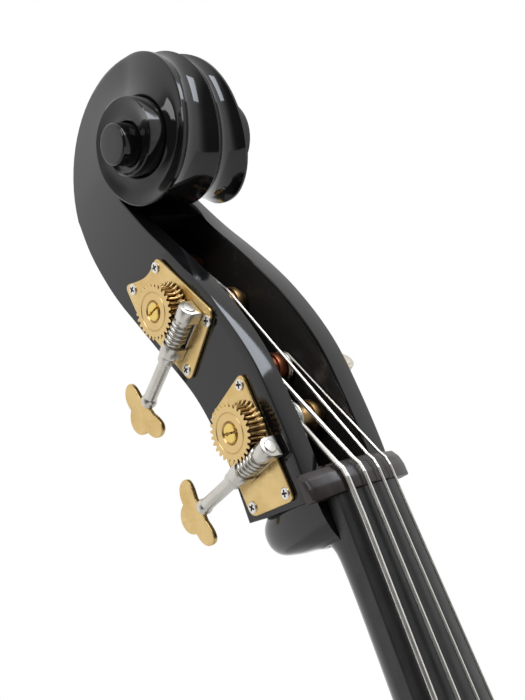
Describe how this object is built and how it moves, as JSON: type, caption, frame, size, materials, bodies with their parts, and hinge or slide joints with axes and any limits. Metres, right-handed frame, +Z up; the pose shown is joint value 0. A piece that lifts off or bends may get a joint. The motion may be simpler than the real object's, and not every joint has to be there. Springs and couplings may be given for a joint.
{
  "type": "double bass",
  "caption": "Upright double bass with gloss black body, carved scroll, brass worm-gear tuning machines, strings, bridge, tailpiece and sliding endpin.",
  "frame": {"origin": "centre of the flat underside of the endpin's rubber tip, with the endpin drawn out 180 mm", "axes": "+Z up along the body and endpin, -Y towards the player's audience, the side with the strings, +X to the right seen from the front, the side of the thinnest string"},
  "size_m": [0.66, 0.4252, 1.9767],
  "materials": {
    "black_lacquer": "gloss black lacquer",
    "ebony": "satin",
    "maple": "satin",
    "bare_wood": "unfinished",
    "brass": "satin",
    "bronze": "satin",
    "string_steel": "flat-wound, satin",
    "nickel": "satin nickel",
    "rubber": "matte"
  },
  "bodies": {
    "instrument": {"neck_and_scroll": "black_lacquer", "fingerboard": "ebony", "nut": "ebony", "string_e_machine_plate": "brass", "string_e_worm_bracket": "nickel", "string_g_machine_plate": "brass", "string_g_worm_bracket": "nickel", "string_a_machine_plate": "brass", "string_a_worm_bracket": "nickel", "string_d_machine_plate": "brass", "string_d_worm_bracket": "nickel", "e_string": "string_steel", "a_string": "string_steel", "d_string": "string_steel", "g_string": "string_steel", "top_plate": "black_lacquer", "back_plate": "black_lacquer", "ribs": "black_lacquer", "front_lining": "bare_wood", "back_lining": "bare_wood", "neck_block": "bare_wood", "end_block": "bare_wood", "treble_lower_corner_block": "bare_wood", "bass_lower_corner_block": "bare_wood", "treble_upper_corner_block": "bare_wood", "bass_upper_corner_block": "bare_wood", "bass_bar": "bare_wood", "sound_post": "bare_wood", "bridge": "maple", "tailpiece": "ebony", "tail_wire": "nickel", "saddle": "ebony", "endpin_socket": "ebony"},
    "e_key": {"string_e_worm_shaft": "nickel", "string_e_tuning_key": "brass"},
    "e_roller": {"string_e_worm_wheel": "brass", "string_e_wheel_screw": "brass", "string_e_roller": "bronze"},
    "g_key": {"string_g_worm_shaft": "nickel", "string_g_tuning_key": "brass"},
    "g_roller": {"string_g_worm_wheel": "brass", "string_g_wheel_screw": "brass", "string_g_roller": "bronze"},
    "a_key": {"string_a_worm_shaft": "nickel", "string_a_tuning_key": "brass"},
    "a_roller": {"string_a_worm_wheel": "brass", "string_a_wheel_screw": "brass", "string_a_roller": "bronze"},
    "d_key": {"string_d_worm_shaft": "nickel", "string_d_tuning_key": "brass"},
    "d_roller": {"string_d_worm_wheel": "brass", "string_d_wheel_screw": "brass", "string_d_roller": "bronze"},
    "endpin": {"endpin_rod": "nickel", "endpin_tip": "rubber"},
    "endpin_screw": {"endpin_thumb_screw": "nickel"}
  },
  "joints": [
    {"name": "e_roller_turn", "type": "hinge", "parent": "instrument", "child": "e_roller", "pos_m": [-0.0395, -0.02684, 1.75063], "axis": [-1, 0, 0], "continuous": true},
    {"name": "e_key_turn", "type": "hinge", "parent": "instrument", "child": "e_key", "pos_m": [-0.0395, -0.03272, 1.73394], "axis": [0, 0.9432, -0.3322], "continuous": true},
    {"name": "g_roller_turn", "type": "hinge", "parent": "instrument", "child": "g_roller", "pos_m": [0.0395, -0.01176, 1.78066], "axis": [1, 0, 0], "continuous": true},
    {"name": "g_key_turn", "type": "hinge", "parent": "instrument", "child": "g_key", "pos_m": [0.0395, -0.02222, 1.76637], "axis": [0, 0.807, -0.5906], "continuous": true},
    {"name": "a_roller_turn", "type": "hinge", "parent": "instrument", "child": "a_roller", "pos_m": [-0.0395, 0.01181, 1.82421], "axis": [-1, 0, 0], "continuous": true},
    {"name": "a_key_turn", "type": "hinge", "parent": "instrument", "child": "a_key", "pos_m": [-0.0395, 0.00135, 1.80992], "axis": [0, 0.807, -0.5906], "continuous": true},
    {"name": "d_roller_turn", "type": "hinge", "parent": "instrument", "child": "d_roller", "pos_m": [0.0395, 0.0413, 1.85474], "axis": [1, 0, 0], "continuous": true},
    {"name": "d_key_turn", "type": "hinge", "parent": "instrument", "child": "d_key", "pos_m": [0.0395, 0.03085, 1.84046], "axis": [0, 0.807, -0.5906], "continuous": true},
    {"name": "endpin_height", "type": "slide", "parent": "instrument", "child": "endpin", "axis": [0, 0, 1], "range_m": [-0.15, 0.1]},
    {"name": "endpin_clamp", "type": "hinge", "parent": "instrument", "child": "endpin_screw", "pos_m": [0, 0, 0.154], "axis": [0, -1, 0], "range_deg": [0, 720]}
  ],
  "couplings": [
    {"joint": "e_roller_turn", "follows": "e_key_turn", "ratio": -0.035714},
    {"joint": "g_roller_turn", "follows": "g_key_turn", "ratio": -0.035714},
    {"joint": "a_roller_turn", "follows": "a_key_turn", "ratio": -0.035714},
    {"joint": "d_roller_turn", "follows": "d_key_turn", "ratio": -0.035714}
  ]
}
